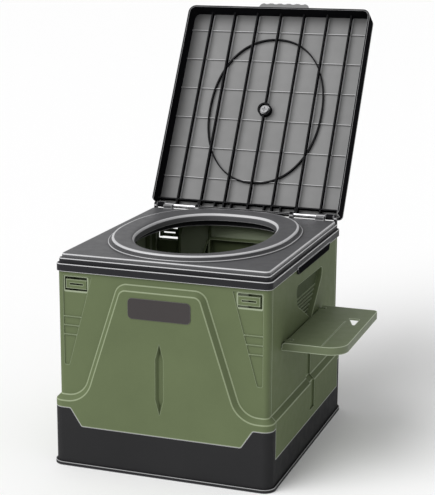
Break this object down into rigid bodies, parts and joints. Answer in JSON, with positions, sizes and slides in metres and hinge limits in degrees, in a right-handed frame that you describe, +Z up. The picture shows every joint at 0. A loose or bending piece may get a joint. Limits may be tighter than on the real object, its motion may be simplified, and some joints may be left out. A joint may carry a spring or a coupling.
{
  "type": "folding camping toilet",
  "caption": "Fold-flat crate camping toilet with four hinged wall panels, lift-off seat top, ribbed lid and a fold-out side table.",
  "frame": {"origin": "middle of the base's underside, on the floor", "axes": "+Z up, -Y towards the front panel with the blank badge, +X towards the side table"},
  "size_m": [0.458, 0.6415, 0.7022],
  "materials": {
    "panel_green": "fine-grained moulded plastic",
    "base_black": "satin moulded plastic",
    "frame_black": "satin moulded plastic",
    "seat_grey": "satin moulded plastic",
    "lid_black": "satin moulded plastic",
    "lid_grey": "satin moulded plastic",
    "badge_dark": "smooth",
    "steel": "bright zinc-plated wire",
    "screw_dark": "black zinc-plated",
    "rubber_black": "soft"
  },
  "bodies": {
    "base": {"base_tray": "base_black", "base_feet": "rubber_black", "front_panel": "panel_green", "rear_panel": "panel_green", "front_hinge_rod": "steel", "rear_hinge_rod": "steel", "left_hinge_rod": "steel", "right_hinge_rod": "steel", "badge_plate": "badge_dark"},
    "left_panel": {"left_panel": "panel_green"},
    "right_panel": {"right_panel": "panel_green", "table_hinge_pins": "steel"},
    "table": {"side_table": "panel_green"},
    "top": {"top_frame": "frame_black", "lid_hinge_rods": "steel"},
    "seat": {"seat_plate": "seat_grey", "seat_seal": "rubber_black"},
    "lid": {"lid_rim": "lid_black", "lid_grid": "lid_black", "lid_cover": "lid_grey", "lid_screw": "screw_dark", "lid_screw_washer": "screw_dark"},
    "front_left_latch": {"front_left_latch": "panel_green"},
    "front_right_latch": {"front_right_latch": "panel_green"},
    "rear_left_latch": {"rear_left_latch": "panel_green"},
    "rear_right_latch": {"rear_right_latch": "panel_green"}
  },
  "joints": [
    {"name": "top_lift", "type": "slide", "parent": "base", "child": "top", "axis": [0, 0, 1], "range_m": [0, 0.06]},
    {"name": "lid_hinge", "type": "hinge", "parent": "top", "child": "lid", "pos_m": [0, 0.199, 0.35], "axis": [-1, 0, 0], "range_deg": [-120, 0]},
    {"name": "seat_hinge", "type": "hinge", "parent": "top", "child": "seat", "pos_m": [0, 0.199, 0.35], "axis": [-1, 0, 0], "range_deg": [0, 95]},
    {"name": "left_panel_fold", "type": "hinge", "parent": "base", "child": "left_panel", "pos_m": [-0.168, 0, 0.033], "axis": [0, 1, 0], "range_deg": [0, 90]},
    {"name": "right_panel_fold", "type": "hinge", "parent": "base", "child": "right_panel", "pos_m": [0.168, 0, 0.054], "axis": [0, -1, 0], "range_deg": [0, 90]},
    {"name": "table_hinge", "type": "hinge", "parent": "right_panel", "child": "table", "pos_m": [0.1815, 0, 0.2145], "axis": [0, -1, 0], "range_deg": [0, 90]},
    {"name": "front_right_latch_press", "type": "hinge", "parent": "base", "child": "front_right_latch", "pos_m": [0.1258, -0.1975, 0.2995], "axis": [0, 0, 1], "range_deg": [0, 5], "stiffness_Nm_per_rad": 1.5},
    {"name": "front_left_latch_press", "type": "hinge", "parent": "base", "child": "front_left_latch", "pos_m": [-0.1258, -0.1975, 0.2995], "axis": [0, 0, -1], "range_deg": [0, 5], "stiffness_Nm_per_rad": 1.5},
    {"name": "rear_right_latch_press", "type": "hinge", "parent": "base", "child": "rear_right_latch", "pos_m": [0.1258, 0.1975, 0.2995], "axis": [0, 0, -1], "range_deg": [0, 5], "stiffness_Nm_per_rad": 1.5},
    {"name": "rear_left_latch_press", "type": "hinge", "parent": "base", "child": "rear_left_latch", "pos_m": [-0.1258, 0.1975, 0.2995], "axis": [0, 0, 1], "range_deg": [0, 5], "stiffness_Nm_per_rad": 1.5}
  ]
}
